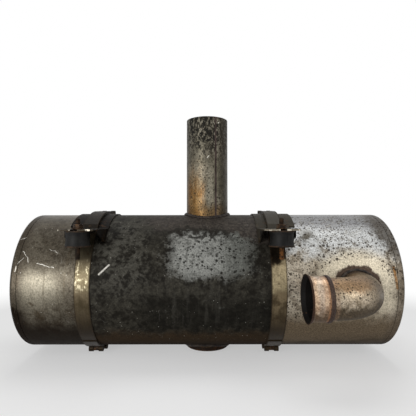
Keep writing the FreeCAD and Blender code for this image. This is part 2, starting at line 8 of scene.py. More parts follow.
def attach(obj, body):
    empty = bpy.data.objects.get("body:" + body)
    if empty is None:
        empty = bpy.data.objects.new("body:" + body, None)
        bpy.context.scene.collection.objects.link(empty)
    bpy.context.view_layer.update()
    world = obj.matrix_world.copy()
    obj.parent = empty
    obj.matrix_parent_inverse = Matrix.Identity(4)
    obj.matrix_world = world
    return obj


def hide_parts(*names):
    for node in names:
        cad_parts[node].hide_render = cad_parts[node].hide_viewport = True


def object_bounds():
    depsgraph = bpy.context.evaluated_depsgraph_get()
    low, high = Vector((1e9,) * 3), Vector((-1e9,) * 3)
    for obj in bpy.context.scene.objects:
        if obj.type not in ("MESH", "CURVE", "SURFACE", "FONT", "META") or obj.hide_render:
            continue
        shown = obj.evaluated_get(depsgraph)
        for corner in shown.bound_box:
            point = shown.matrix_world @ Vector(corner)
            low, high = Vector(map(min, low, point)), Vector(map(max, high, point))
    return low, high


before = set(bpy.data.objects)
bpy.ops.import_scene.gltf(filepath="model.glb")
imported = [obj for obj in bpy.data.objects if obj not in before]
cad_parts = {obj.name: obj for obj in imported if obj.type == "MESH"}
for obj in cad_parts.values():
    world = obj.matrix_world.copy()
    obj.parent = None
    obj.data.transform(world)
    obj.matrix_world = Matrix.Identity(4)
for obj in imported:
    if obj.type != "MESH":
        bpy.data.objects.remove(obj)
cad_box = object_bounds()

# Studio. A plain white floor that keeps the muffler's shadow, white surroundings, and soft light from
# a large box left of the camera, a smaller one at its right and one overhead. The camera stands where
# the photograph was taken.


class Paint:
    """A socket of a node tree, worked with like a number or a colour."""

    def __init__(self, tree, socket=None):
        self.tree, self.socket = tree, socket

    def add(self, kind, settings=None, inputs=None, output=0):
        """Adds a node: its settings first, then the values or links of its sockets."""
        node = self.tree.nodes.new(kind)
        for name, value in (settings or {}).items():
            setattr(node, name, value)
        for name, value in (inputs or {}).items():
            if isinstance(value, Paint):
                self.tree.links.new(value.socket, node.inputs[name])
            elif isinstance(value, tuple) and node.inputs[name].type == "RGBA":
                node.inputs[name].default_value = (*value, 1.0)
            else:
                node.inputs[name].default_value = value
        return Paint(self.tree, node.outputs[output])

    def also(self, output):
        """Another output of the same node."""
        return Paint(self.tree, self.socket.node.outputs[output])

    def maths(self, operation, *values, clamp=False):
        return self.add("ShaderNodeMath", {"operation": operation, "use_clamp": clamp},
                        dict(enumerate(values)))

    def __add__(self, other):
        return self.maths("ADD", self, other)

    def __sub__(self, other):
        return self.maths("SUBTRACT", self, other)

    def __rsub__(self, other):
        return self.maths("SUBTRACT", other, self)

    def __mul__(self, other):
        return self.maths("MULTIPLY", self, other)

    def __truediv__(self, other):
        return self.maths("DIVIDE", self, other)

    __radd__, __rmul__ = __add__, __mul__

    def least(self, other):
        return self.maths("MINIMUM", self, other)

    def most(self, other):
        return self.maths("MAXIMUM", self, other)

    def away(self, centre):
        """Distance from a value, either way."""
        return self.maths("ABSOLUTE", self - centre)

    def length(self, other):
        """The distance that this and another value, measured square to it, make together."""
        return (self * self + other * other).maths("SQRT", self * self + other * other)

    def step(self, low, high):
        """0 at low and 1 at high with a soft rise between them. It falls where low is above high."""
        return self.add("ShaderNodeMapRange", {"interpolation_type": "SMOOTHSTEP"},
                        {"Value": self, "From Min": low, "From Max": high})

    def band(self, low, high, soft):
        """1 between low and high, with soft ends."""
        return self.step(low - soft, low + soft) * self.step(high + soft, high - soft)

    def split(self):
        x = self.add("ShaderNodeSeparateXYZ", inputs={0: self})
        return x, x.also(1), x.also(2)

    def stretch(self, x, y, z):
        """The same place measured with other scales along its axes."""
        return self.add("ShaderNodeVectorMath", {"operation": "MULTIPLY"}, {0: self, 1: (x, y, z)})

    def cloud(self, size, detail=3.0, rough=0.55):
        """Soft noise about 0.5, its blotches about this size in metres."""
        return self.add("ShaderNodeTexNoise", inputs={
            "Vector": self, "Scale": 1 / size, "Detail": detail, "Roughness": rough})

    def pits(self, size, share, widest=0.34):
        """Round marks: 1 inside a mark. Cells of this size each have one, but only a share is shown."""
        cell = self.add("ShaderNodeTexVoronoi", inputs={"Vector": self, "Scale": 1 / size})
        draw = cell.add("ShaderNodeSeparateColor", inputs={0: cell.also("Color")})
        radius = draw * (widest * 0.7) + widest * 0.3
        shown = (share - draw.also(1)).step(0.0, 0.01)
        return (cell / radius).step(1.1, 0.6) * shown

    def mix(self, first, second):
        """A colour that is the first where this mask is 0 and the second where it is 1."""
        return self.add("ShaderNodeMix", {"data_type": "RGBA"}, {0: self, 6: first, 7: second}, 2)

    def coat(self, colour, cover):
        """This colour with another one laid over it where the cover is 1."""
        return cover.mix(self, colour)

    def shade(self, factor):
        return self.add("ShaderNodeVectorMath", {"operation": "SCALE"}, {0: self, "Scale": factor})


floor_z = cad_box[0].z - 0.0006
floor_size = 14.0
floor_white_from, floor_white_to = 0.45, 1.2    # distance over which the floor turns pure white
floor_glow = 0.45                               # share of pure white that the camera sees nearer by
surround_light = 0.40


def camera_sees(start):
    """1 for what the camera sees, straight or in metal, and 0 for what lights the muffler."""
    ray = start.add("ShaderNodeLightPath", output="Is Camera Ray")
    return ray.most(ray.also("Is Glossy Ray")).most(ray.also("Is Transmission Ray"))


bpy.ops.object.select_all(action="DESELECT")
bpy.ops.mesh.primitive_plane_add(size=floor_size, location=(0.054, 0, floor_z))
floor = bpy.context.active_object
floor.name = "floor"
floor_white = bpy.data.materials.new("floor_white")
floor_white.use_nodes = True
tree = floor_white.node_tree
tree.nodes.remove(tree.nodes["Principled BSDF"])
spot = Paint(tree).add("ShaderNodeTexCoord", output="Object")
across, deep, _ = spot.split()
glowing = camera_sees(spot) * floor_glow
whiteness = across.length(deep).step(floor_white_from, floor_white_to).most(glowing)
matt = spot.add("ShaderNodeBsdfDiffuse", inputs={"Color": (0.82, 0.82, 0.82)})
glow = spot.add("ShaderNodeEmission", inputs={"Color": (1.0, 1.0, 1.0), "Strength": 1.0})
covered = spot.add("ShaderNodeMixShader", inputs={0: whiteness, 1: matt, 2: glow})
tree.links.new(covered.socket, tree.nodes["Material Output"].inputs["Surface"])
floor.data.materials.append(floor_white)

world = bpy.data.worlds.new("white_surroundings")
world.use_nodes = True
bpy.context.scene.world = world
tree = world.node_tree
strength = camera_sees(Paint(tree)) * (1.0 - surround_light) + surround_light
tree.links.new(strength.socket, tree.nodes["Background"].inputs["Strength"])
tree.nodes["Background"].inputs["Color"].default_value = (1.0, 1.0, 1.0, 1.0)

lamps = {
    "key_softbox": ((-1.05, -1.75, 0.10), (0.9, 0.7), 22.0),
    "fill_softbox": ((1.7, -1.5, 0.8), (0.8, 0.8), 9.0),
    "overhead_softbox": ((0.1, 0.3, 1.9), (1.6, 1.0), 14.0),
}
aimed_at = Vector((0.05, -0.05, -0.05))
for name, (place, (wide, high), watts) in lamps.items():
    light = bpy.data.lights.new(name, "AREA")
    light.shape, light.size, light.size_y, light.energy = "RECTANGLE", wide, high, watts
    lamp = bpy.data.objects.new(name, light)
    lamp.location = place
    lamp.rotation_euler = (aimed_at - Vector(place)).to_track_quat("-Z", "Y").to_euler()
    bpy.context.scene.collection.objects.link(lamp)

camera_place = (0.0560, -0.9296, 0.0476)
camera_tilt, camera_roll = 0.0388, -0.0013      # radians up, and about its own view
camera_lens, film_width = 32.78, 36.0           # mm
lens = bpy.data.cameras.new("photo_camera")
lens.lens, lens.sensor_width = camera_lens, film_width
camera = bpy.data.objects.new("photo_camera", lens)
turned = Matrix.Rotation(math.pi / 2 + camera_tilt, 4, "X") @ Matrix.Rotation(camera_roll, 4, "Z")
camera.matrix_world = Matrix.Translation(camera_place) @ turned
bpy.context.scene.collection.objects.link(camera)
bpy.context.scene.camera = camera
bpy.context.scene.view_settings.view_transform = "Standard"


# Drum. One rolled sheet of aluminised steel and two pressed ends folded over it. Heat and weather have
# stained it: the middle is sooty with a chalky grey patch, the inlet end is pale and pitted round the
# elbow, the other end is dull grey with scratches. Painted into these colours are a highlight on the
# other end's front, a sky reflection over the inlet end's top and shade low down and at the left edge.
drum_axis_z = -0.0865
drum_r = 0.153
clamp_x = 0.2015
inlet_x, inlet_z = 0.3605, -0.0905
elbow_turn = 91.5                               # degrees from the top, where the elbow leaves the drum


def new_finish(name, specular=0.1):
    """A new material and its place, in metres, on the muffler."""
    material = bpy.data.materials.new(name)
    material.use_nodes = True
    shader = material.node_tree.nodes["Principled BSDF"]
    shader.inputs["Specular IOR Level"].default_value = specular
    return material, Paint(material.node_tree).add("ShaderNodeTexCoord", output="Object")


def lay_finish(material, colour, roughness, metallic, height, depth):
    """Connects the finish. Height 1 stands this depth, in metres, above height 0. A plain number is
    set on the shader's own socket."""
    shader = material.node_tree.nodes["Principled BSDF"]
    relief = height.add("ShaderNodeBump", inputs={"Height": height, "Distance": depth, "Strength": 1.0})
    for name, value in {"Base Color": colour, "Roughness": roughness, "Metallic": metallic,
                        "Normal": relief}.items():
        if isinstance(value, Paint):
            material.node_tree.links.new(value.socket, shader.inputs[name])
        else:
            shader.inputs[name].default_value = value


def dress(material, *nodes):
    """Gives CAD nodes their finish."""
    for node in nodes:
        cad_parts[node].material_slots[0].material = material


def drum_spot(place):
    """Where a point is on the drum: along it, degrees from the top to the front, and unrolled flat."""
    x, y, z = place.split()
    turn = x.maths("ARCTAN2", 0.0 - y, z - drum_axis_z) * math.degrees(1)
    arc = turn * (math.radians(1) * drum_r)
    return x, turn, arc, x.add("ShaderNodeCombineXYZ", inputs={0: x, 1: arc})


def reach(x, arc, spot):
    """Distance along the drum's surface from an (x, degrees) spot."""
    return (x - spot[0]).length(arc - math.radians(spot[1]) * drum_r)


def stroke(x, arc, start, end, width):
    """A thin mark from one (metres, degrees) place on the drum to another."""
    (x0, turn0), (x1, turn1) = start, end
    arc0, run = math.radians(turn0) * drum_r, x1 - x0
    rise = math.radians(turn1) * drum_r - arc0
    span = run * run + rise * rise
    along = x.maths("ADD", (x - x0) * (run / span), (arc - arc0) * (rise / span), clamp=True)
    off = (x - x0 - along * run).length(arc - arc0 - along * rise)
    return off.step(width * 0.65, width * 0.3)


# scratches on the left end, each from one (metres, degrees) place to another
scuffs = [((-0.3312, 61.2), (-0.3187, 65.9)), ((-0.3187, 65.9), (-0.3156, 70.2)),
          ((-0.3385, 71.1), (-0.3267, 66.5)), ((-0.3385, 71.1), (-0.3400, 77.0)),
          ((-0.2775, 59.0), (-0.2577, 61.9)), ((-0.3442, 50.0), (-0.3344, 48.0)),
          ((-0.2973, 70.6), (-0.2615, 74.1))]


def drum_finish(name):
    """The stained surface of the drum, with its painted highlight, sky reflection and shade, laid out on
    its unrolled sheet. Stains and painted shade that go by degrees from the top are level lines on the end
    faces."""
    material, place = new_finish(name, 0.06)
    x, turn, arc, flat = drum_spot(place)
    _, y, z = place.split()
    height = ((z - drum_axis_z) / drum_r).least(1.0).most(-1.0)
    side = height.maths("ARCCOSINE", height) * math.degrees(1)
    round_side = y.length(z - drum_axis_z).step(0.138, 0.150)       # 0 on the middle of an end face
    front = turn.step(0, 12)
    broad = place.cloud(0.10, 2.0)
    mottle = place.cloud(0.026, 4.0, 0.62)
    fine = place.cloud(0.009, 4.0, 0.65)
    grain = place.cloud(0.0028, 3.0, 0.6)
    ragged = mottle - 0.5
    fray = fine - 0.5
    drips = flat.stretch(1, 0.10, 1).cloud(0.011, 3.0)

    # the left end: dull warm grey with a pale spot that is a painted highlight, browner low down and
    # darker there with painted shade
    left = broad.step(0.38, 0.62).mix((0.056, 0.047, 0.035), (0.098, 0.085, 0.064))
    left = left.coat((0.120, 0.108, 0.082), fine.step(0.50, 0.68) * 0.45)
    left = left.coat((0.026, 0.020, 0.013), fine.step(0.50, 0.36) * 0.55)
    # painted highlight: a pale round spot on the front of the left end
    painted_highlight_spot = (reach(x, arc, (-0.288, 92)) + ragged * 0.03).step(0.066, 0.008)
    left = left.coat((0.240, 0.218, 0.168), painted_highlight_spot * 0.62)
    # browner and darker low down: a brown stain with painted shade
    left = left.coat((0.040, 0.027, 0.015), mottle.step(0.46, 0.62) * side.step(98, 118) * 0.7)
    left = left.coat((0.050, 0.038, 0.024), drips.step(0.56, 0.66) * 0.35)
    wave = arc + (flat.cloud(0.009, 2.0) - 0.5) * 0.010
    scratched = stroke(x, wave, *scuffs[0], 0.0015)
    for start, end in scuffs[1:]:
        scratched = scratched.most(stroke(x, wave, start, end, 0.0013))
    scratched = scratched * fine.step(0.36, 0.48)
    smudge_low = stroke(x, wave, (-0.3034, 107), (-0.2869, 115), 0.011)
    smudge_ring = (reach(x, arc, (-0.309, 103.0)) + fray * 0.012).away(0.0050).step(0.0040, 0.001)
    smudged = smudge_low.most(smudge_ring) * front * mottle.step(0.36, 0.60)
    left = left.coat((0.045, 0.033, 0.019), smudged * 0.75)
    # painted shade darkening the left end towards its edge, darkest low down
    rim = (x + ragged * 0.02).step(-0.3130, -0.3400)
    left = left.coat((0.024, 0.017, 0.011), rim * (0.55 + fray * 1.2))
    left = left.coat((0.010, 0.006, 0.003), rim * round_side * (side + ragged * 30).band(104, 134, 4))

    # the middle: soot, a chalky patch with dark pits, a brown band over the top
    middle = (mottle * 0.5 + fine * 0.5).step(0.40, 0.62).mix((0.0075, 0.0063, 0.0045),
                                                               (0.0340, 0.0310, 0.0240))
    haze = (x + ragged * 0.16).band(-0.170, -0.075, 0.03) * (side + ragged * 40).band(26, 92, 14)
    haze = haze * (mottle * 0.6 + fray * 0.8 + 0.20).step(0.38, 0.62)
    middle = middle.coat((0.062, 0.059, 0.049), haze * 0.75)
    # painted shade low on the front of the middle
    dark_low = x.step(-0.12, -0.05) * side.band(98, 126, 9)
    middle = middle.coat((0.0045, 0.0040, 0.0028), dark_low * 0.7)
    streaks = (x + ragged * 0.1).band(-0.035, 0.150, 0.02) * side.band(78, 122, 9)
    middle = middle.coat((0.046, 0.043, 0.036), streaks * drips.step(0.48, 0.66) * 0.32)
    across = x.step(-0.060, 0.010) * x.step(0.200, 0.105)
    down = (side + ragged * 22).step(37, 49) * (side + ragged * 36).step(92, 72)
    patch = (across * down + ragged * 1.3 + fray * 1.1).step(0.22, 1.05) * front
    chalk = x.step(0.060, 0.120).mix((0.222, 0.224, 0.207), (0.116, 0.119, 0.107))
    middle = middle.coat(chalk, patch)
    middle = middle.coat((0.050, 0.050, 0.044), patch * fine.step(0.48, 0.62) * 0.65)
    holes = place.pits(0.0095, 0.80, 0.42).most(place.pits(0.0050, 0.75, 0.42))
    holes = holes * (across * down).step(0.05, 0.4) * mottle.step(0.28, 0.48)
    middle = middle.coat((0.0090, 0.0080, 0.0065), holes * 0.92)
    pepper = x.band(-0.030, 0.110, 0.02) * (turn + ragged * 20).band(34, 50, 4) * fine.step(0.46, 0.54)
    middle = middle.coat((0.0100, 0.0085, 0.0065), pepper * 0.85)
    band_edge = 37 + x.step(0.080, 0.150) * 15
    brown = (side + ragged * 30 + fray * 14 - band_edge).step(3, -3) * x.step(-0.100, -0.060)
    browns = fine.step(0.38, 0.62).mix((0.0260, 0.0215, 0.0185), (0.0520, 0.0440, 0.0360))
    middle = middle.coat(browns, brown)
    middle = middle.coat((0.0310, 0.0190, 0.0098), (side + ragged * 24).step(124, 138) * 0.85)
    dash = stroke(x, arc, (-0.1675, 79.2), (-0.1485, 72.1), 0.0036)

    # the right end: silver on top with a painted sky reflection, cream round the elbow, brown below with
    # painted shade, dark pits nearly everywhere
    right = broad.step(0.4, 0.6).mix((0.270, 0.235, 0.180), (0.385, 0.340, 0.270))
    # painted reflection of the sky: a bright bluish band over the top
    painted_sky_reflection = (side + ragged * 14).step(30, 48).mix((0.205, 0.205, 0.208), (0.500, 0.507, 0.498))
    right = right.coat(painted_sky_reflection, (side + ragged * 34).step(72, 54))
    right = right.coat((0.200, 0.185, 0.155), fine.step(0.52, 0.64) * 0.55)
    from_elbow = reach(x, arc, (inlet_x, elbow_turn)) + ragged * 0.022
    right = right.coat((0.520, 0.460, 0.350), from_elbow.step(0.100, 0.066) * front * 0.9)
    # brown below, and darker there with painted shade
    low = (side + ragged * 20).step(100, 122)
    right = right.coat((0.128, 0.096, 0.062), low)
    right = right.coat((0.105, 0.078, 0.050), (mottle + fray * 0.5).step(0.52, 0.64)
                       * side.band(48, 110, 10) * from_elbow.step(0.070, 0.095) * 0.55)
    smoky = reach(x, arc, (0.2696, 48)).step(0.034, 0.004)
    right = right.coat((0.095, 0.086, 0.070), smoky * mottle.step(0.34, 0.58))
    ring = (from_elbow + fray * 0.010).step(0.0550, 0.0500) * turn.step(96, 86)
    right = right.coat((0.062, 0.043, 0.032), ring)
    rim_from = 0.437 - side.step(72, 40) * 0.024
    rim_brown = (x + ragged * 0.040 + fray * 0.030 - rim_from).step(-0.014, 0.014)
    browns = side.step(64, 84).mix((0.056, 0.046, 0.034), (0.100, 0.078, 0.055))
    right = right.coat(browns, rim_brown * 0.85)
    rust_run = stroke(x, wave, (0.4372, 74.0), (0.4413, 90.0), 0.0052)
    right = right.coat((0.250, 0.120, 0.032), rust_run * front * 0.75)
    # painted shade, darkest along the very bottom
    right = right.coat((0.035, 0.024, 0.013), (side + ragged * 20 + x * 60).step(152, 172) * 0.6)
    crowd = reach(x, arc, (0.318, 62)).step(0.060, 0.0) * 0.30 + x.step(0.262, 0.228) * 0.22
    busy = (mottle + crowd).step(0.42, 0.60) * (side + ragged * 20).band(12, 116, 10)
    busy = busy.most(side.band(20, 100, 12) * 0.45) * from_elbow.step(0.058, 0.080).most(1 - front)
    specks = place.pits(0.0042, 0.95, 0.46).most(place.pits(0.0070, 0.90, 0.44))
    specks = specks.most(place.pits(0.0120, 0.50, 0.36)) * busy.step(0.05, 0.70)
    right = right.coat((0.040, 0.031, 0.022), specks * 0.92)

    on_left = x.step(-clamp_x + 0.004, -clamp_x - 0.004)            # the colours change under the straps
    on_right = x.step(clamp_x - 0.004, clamp_x + 0.004)
    colour = middle.coat(left, on_left).coat(right, on_right)
    sooty = (1 - on_left) * (1 - on_right)
    dust = place.pits(0.0052, 0.28, 0.20) * (1 - on_right) * mottle.step(0.42, 0.56)
    hair = flat.cloud(0.045, 1.5).away(0.5).step(0.0035, 0.0008) * flat.cloud(0.030, 1.0).step(0.54, 0.62)
    bright = scratched.most(dash).most(dust * 0.65).most(hair * (1 - on_right) * 0.08)
    colour = colour.coat((0.50, 0.48, 0.43), bright * (1 - patch * sooty))
    # painted shade along the bottom: the left end's underside near black, the whole drum darker lowest down
    painted_underside_shade = (side + ragged * 16).step(106, 130)
    colour = colour.coat((0.0060, 0.0034, 0.0016), painted_underside_shade * on_left * (round_side * 0.44 + 0.50))
    colour = colour.coat((0.0095, 0.0060, 0.0040), (side + ragged * 12).step(138, 158) * 0.75)
    colour = colour.shade(grain.step(0.28, 0.72) * 0.66 + 0.67)
    marks = (specks * on_right).most(holes * sooty)
    bare = on_left * 0.80 + on_right * 0.72 + sooty * patch * 0.30
    bare = bare * (1 - marks * 0.7) * (1 - painted_underside_shade * (0.92 - on_right * 0.6))
    dull = on_left * 0.42 + on_right * 0.44 + sooty * 0.60 + ragged * 0.18 + (marks + painted_underside_shade) * 0.25
    lay_finish(material, colour, dull, bare, grain * 0.3 + fine * 0.3 - marks * 0.8, 0.00035)
    return material


dress(drum_finish("drum_steel"), "shell")
dress(drum_finish("head_steel"), "head_left", "head_right")


# Outlet pipe. A plain seam-welded tube through the drum, welded top and bottom, closed below by a cap.
# Its top is sooty and blotched, the middle pale with a painted highlight down its front, both sides
# darkened by painted shade, the foot rusty towards the left. The round weld is laid as overlapping ripples.
outlet_x, outlet_r = 0.054, 0.050
outlet_top = 0.2975
weld_out, weld_rise = 0.0033, 0.0028            # the weld's crest, from the pipe's wall and the drum's
ripple_pitch = 0.0034

outlet_steel, place = new_finish("outlet_steel", 0.1)
x, y, z = place.split()
side = x.maths("ARCTAN2", x - outlet_x, 0.0 - y) * math.degrees(1)     # 0 in front, + to the right
mottle = place.stretch(1, 1, 0.45).cloud(0.016, 4.0, 0.6)
blotch = place.stretch(1, 1, 0.6).cloud(0.0065, 4.0, 0.70)
grain = place.cloud(0.0026, 3.0)
broad = place.cloud(0.05, 2.0)
colour = broad.step(0.38, 0.62).mix((0.078, 0.070, 0.050), (0.155, 0.138, 0.104))
# painted highlight down the front of the pipe
colour = colour.coat((0.260, 0.235, 0.180), side.away(8).step(13, 3) * z.band(0.085, 0.165, 0.03) * 0.6)
orange = (z + (mottle - 0.5) * 0.09).step(0.205, 0.100) * (side + (mottle - 0.5) * 30).step(6, -30)
colour = colour.coat(mottle.step(0.4, 0.62).mix((0.150, 0.076, 0.022), (0.215, 0.130, 0.052)), orange)
colour = colour.coat((0.120, 0.068, 0.024), (z + (mottle - 0.5) * 0.05).step(0.104, 0.072) * 0.7)
sooty_top = (z + (mottle - 0.5) * 0.060 + side * 0.00025).step(0.180, 0.252)
colour = colour.coat((0.070, 0.062, 0.045), sooty_top * 0.8)
colour = colour.coat((0.150, 0.138, 0.110), sooty_top * blotch.step(0.52, 0.64) * 0.7)
soot = (blotch - sooty_top * 0.07).step(0.48, 0.40) * (sooty_top * 0.85 + 0.22)
colour = colour.coat((0.0090, 0.0080, 0.0060), soot)
# painted shade down both sides of the pipe
painted_side_shade = side.step(24, 50).most(side.step(-50, -76))
colour = colour.coat((0.030, 0.025, 0.017), painted_side_shade * (0.75 - (blotch - 0.5) * 1.4))
specks = place.stretch(1, 1, 0.7).pits(0.0046, 0.90, 0.44) * place.cloud(0.03).step(0.32, 0.50)
specks = specks.most(place.pits(0.0085, 0.35, 0.34))
colour = colour.coat((0.020, 0.015, 0.009), specks * 0.85)
# a faint dark line down the pipe, left of its front
faint_dark_line = side.away(-12).step(1.3, 0.5) * z.band(0.075, 0.150, 0.012)
colour = colour.coat((0.060, 0.050, 0.034), faint_dark_line * 0.6)
nicks = (side - 2.0 - (z - 0.201) * 900).away(0.0).step(1.6, 0.8) * z.band(0.1985, 0.2045, 0.0008)
nicks = nicks.most((side.away(33.0) + (z - 0.284).away(0.0) * 1500).step(3.0, 1.8))
colour = colour.coat((0.50, 0.48, 0.42), nicks)
from_axis = (x - outlet_x).length(y)
bead = from_axis.step(0.0502, 0.0506)
colour = colour.coat(mottle.step(0.42, 0.6).mix((0.014, 0.011, 0.009), (0.040, 0.031, 0.024)), bead)
stub = z.step(-0.235, -0.2385)
colour = colour.coat(mottle.step(0.42, 0.6).mix((0.009, 0.0042, 0.002), (0.030, 0.0135, 0.0055)), stub)
inside = from_axis.step(0.0492, 0.0486)
colour = colour.coat((0.010, 0.009, 0.008), inside)
rim = z.step(outlet_top - 0.0006, outlet_top - 0.0002)
colour = colour.coat((0.022, 0.019, 0.016), rim).shade(grain.step(0.28, 0.72) * 0.9 + 0.55)
worn_off = soot.most(inside).most(stub).most(bead).most(specks * 0.8)
lay_finish(outlet_steel, colour, mottle * 0.2 + 0.34 + worn_off * 0.2, 0.70 - worn_off * 0.60,
           grain * 0.4 - specks * 0.7 - soot * 0.2, 0.00030)
dress(outlet_steel, "outlet_pipe")

cap_steel, place = new_finish("rusted_cap_steel", 0.1)
mottle = place.cloud(0.014, 4.0, 0.6)
grain = place.cloud(0.003, 3.0)
colour = mottle.step(0.4, 0.62).mix((0.013, 0.0065, 0.0035), (0.060, 0.028, 0.010)).shade(grain * 0.6 + 0.7)
lay_finish(cap_steel, colour, grain * 0.2 + 0.6, mottle * 0.2, grain + mottle, 0.00035)
dress(cap_steel, "outlet_bottom_cap")

weld_metal, place = new_finish("weld_metal", 0.2)
mottle = place.cloud(0.012, 3.0)
grain = place.cloud(0.0018, 3.0)
colour = mottle.step(0.42, 0.6).mix((0.012, 0.009, 0.008), (0.046, 0.035, 0.027)).shade(grain * 0.6 + 0.7)
lay_finish(weld_metal, colour, grain * 0.2 + 0.42, mottle * 0.4 + 0.1, grain, 0.00015)


def pick(piece, kind, test):
    """Goes into edit mode with only those faces, edges or corners selected whose middle passes."""
    bpy.ops.object.mode_set(mode="EDIT")
    bpy.ops.mesh.select_mode(type=kind)
    bpy.ops.mesh.select_all(action="DESELECT")
    bpy.ops.object.mode_set(mode="OBJECT")
    mesh = piece.data
    for part in {"FACE": mesh.polygons, "EDGE": mesh.edges, "VERT": mesh.vertices}[kind]:
        if kind == "FACE":
            middle = part.center
        elif kind == "EDGE":
            middle = (mesh.vertices[part.vertices[0]].co + mesh.vertices[part.vertices[1]].co) / 2
        else:
            middle = part.co
        part.select = test(middle)
    bpy.ops.object.mode_set(mode="EDIT")


def fit_piece(piece, name, material):
    """Names a finished piece, gives it its finish and fixes it to the muffler."""
    bpy.ops.object.mode_set(mode="OBJECT")
    piece.name = piece.data.name = name
    piece.data.materials.clear()
    piece.data.materials.append(material)
    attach(piece, "root")


def copy_at(piece, place):
    """A copy of a piece with its own mesh, moved by a matrix."""
    twin = piece.copy()
    twin.data = piece.data.copy()
    twin.data.transform(place)
    bpy.context.scene.collection.objects.link(twin)
    return twin


def join(pieces):
    """Makes the pieces one, the first of them."""
    bpy.ops.object.select_all(action="DESELECT")
    for piece in pieces:
        piece.select_set(True)
    bpy.context.view_layer.objects.active = pieces[0]
    bpy.ops.object.join()
    return pieces[0]


def weld_ripple():
    """One ripple of a weld: a low dome, longer across the weld, that leans back on the one before."""
    bpy.ops.object.select_all(action="DESELECT")
    bpy.ops.mesh.primitive_uv_sphere_add(segments=12, ring_count=8, radius=0.001)
    ripple = bpy.context.active_object
    pick(ripple, "FACE", lambda middle: True)
    bpy.ops.transform.resize(value=(2.5, 3.5, 1.3))
    bpy.ops.mesh.bisect(plane_co=(0, 0, -0.0003), plane_no=(0, 0, 1), clear_inner=True, use_fill=True)
    pick(ripple, "VERT", lambda middle: middle.z > 0.0003)
    bpy.ops.transform.translate(value=(-0.0007, 0, 0))
    bpy.ops.object.mode_set(mode="OBJECT")
    bpy.ops.object.shade_smooth()
    return ripple


def weld_round(name, way, centre_x, drop, pipe_r):
    """Ripples round a pipe that leaves the drum along way, its middle this far to the side."""
    ripple = weld_ripple()
    lean = Vector((1, 0, 0)).cross(way)
    ring_r, crest_r = pipe_r + weld_out, drum_r + weld_rise
    count = round(2 * math.pi * ring_r / ripple_pitch)
    jitter = random.Random(7)

    def spot_at(angle):
        out = ring_r * math.sin(angle) + drop
        return (Vector((centre_x + ring_r * math.cos(angle), 0, drum_axis_z)) + lean * out
                + way * math.sqrt(crest_r ** 2 - out ** 2))

    ripples = []
    for i in range(count):
        angle = 2 * math.pi * i / count
        spot = spot_at(angle)
        along = (spot_at(angle + 0.01) - spot_at(angle - 0.01)).normalized()
        from_pipe = Vector((math.cos(angle), 0, 0)) + lean * math.sin(angle)
        from_drum = Vector((0, spot.y, spot.z - drum_axis_z)).normalized()
        up = (from_pipe + from_drum).normalized()
        up = (up - along * up.dot(along)).normalized()
        size = jitter.uniform(0.9, 1.12)
        turn = Matrix((along, up.cross(along), up)).transposed().to_4x4()
        ripples.append(copy_at(ripple, Matrix.Translation(spot) @ turn @ Matrix.Scale(size, 4)))
    bpy.data.objects.remove(ripple)
    fit_piece(join(ripples), name, weld_metal)


weld_round("outlet_weld_top", Vector((0, 0, 1)), outlet_x, 0.0, outlet_r)
weld_round("outlet_weld_bottom", Vector((0, 0, -1)), outlet_x, 0.0, outlet_r)

seam_steel, place = new_finish("seam_steel", 0.1)
mottle = place.stretch(1, 1, 0.3).cloud(0.008, 3.0)
grain = place.cloud(0.002, 3.0)
colour = mottle.step(0.4, 0.62).mix((0.022, 0.015, 0.013), (0.050, 0.036, 0.031)).shade(grain * 0.6 + 0.7)
lay_finish(seam_steel, colour, grain * 0.2 + 0.42, mottle * 0.3 + 0.4, grain, 0.0001)

seam_side = math.radians(23.6)                  # right of the pipe's front
seam_foot, seam_wide, seam_high = 0.0640, 0.0048, 0.0007
seam_short = 0.0004                             # below the pipe's end
seam_length = outlet_top - seam_short - seam_foot
bpy.ops.object.select_all(action="DESELECT")
bpy.ops.mesh.primitive_cube_add(size=1.0)
seam = bpy.context.active_object
pick(seam, "FACE", lambda middle: True)
bpy.ops.transform.resize(value=(seam_wide, seam_high, seam_length))
bpy.ops.mesh.subdivide(number_cuts=1)
bpy.ops.mesh.bisect(plane_co=(0, 0, 0), plane_no=(0, 0, 1))
pick(seam, "EDGE", lambda middle: middle.y < -seam_high * 0.4 and abs(middle.x) > seam_wide * 0.4)
bpy.ops.mesh.bevel(offset=0.0004, segments=2, affect="EDGES")
bpy.ops.object.mode_set(mode="OBJECT")
seam.data.transform(Matrix.Translation((outlet_x, 0, 0)) @ Matrix.Rotation(seam_side, 4, "Z")
                    @ Matrix.Translation((0, -outlet_r, seam_foot + seam_length / 2)))
fit_piece(seam, "outlet_seam", seam_steel)


# Inlet elbow and adapter. A mandrel-bent tube tinted straw and olive by heat, its top pitted, with a
# short spool brazed over its end: copper-pink, a dark ring at the joint and a dark flared lip.
elbow_r = 0.0381
elbow_leg_y = -0.238
elbow_end_x = 0.265
bend_x, bend_y, bend_r = 0.2843, -0.1618, 0.0762

elbow_steel, place = new_finish("elbow_steel", 0.1)
x, y, z = place.split()
up = (z - inlet_z) / elbow_r
mottle = place.cloud(0.018, 4.0, 0.6)
fine = place.cloud(0.007, 4.0, 0.65)
grain = place.cloud(0.0026, 3.0)
colour = mottle.step(0.4, 0.62).mix((0.290, 0.235, 0.165), (0.430, 0.360, 0.270))
tan = (up + (mottle - 0.5) * 1.4).step(0.20, 0.70)
colour = colour.coat((0.235, 0.145, 0.075), tan * 0.9)
olive = (x + (mottle - 0.5) * 0.05).step(0.330, 0.370)
colour = colour.coat((0.090, 0.065, 0.037), olive * 0.88)
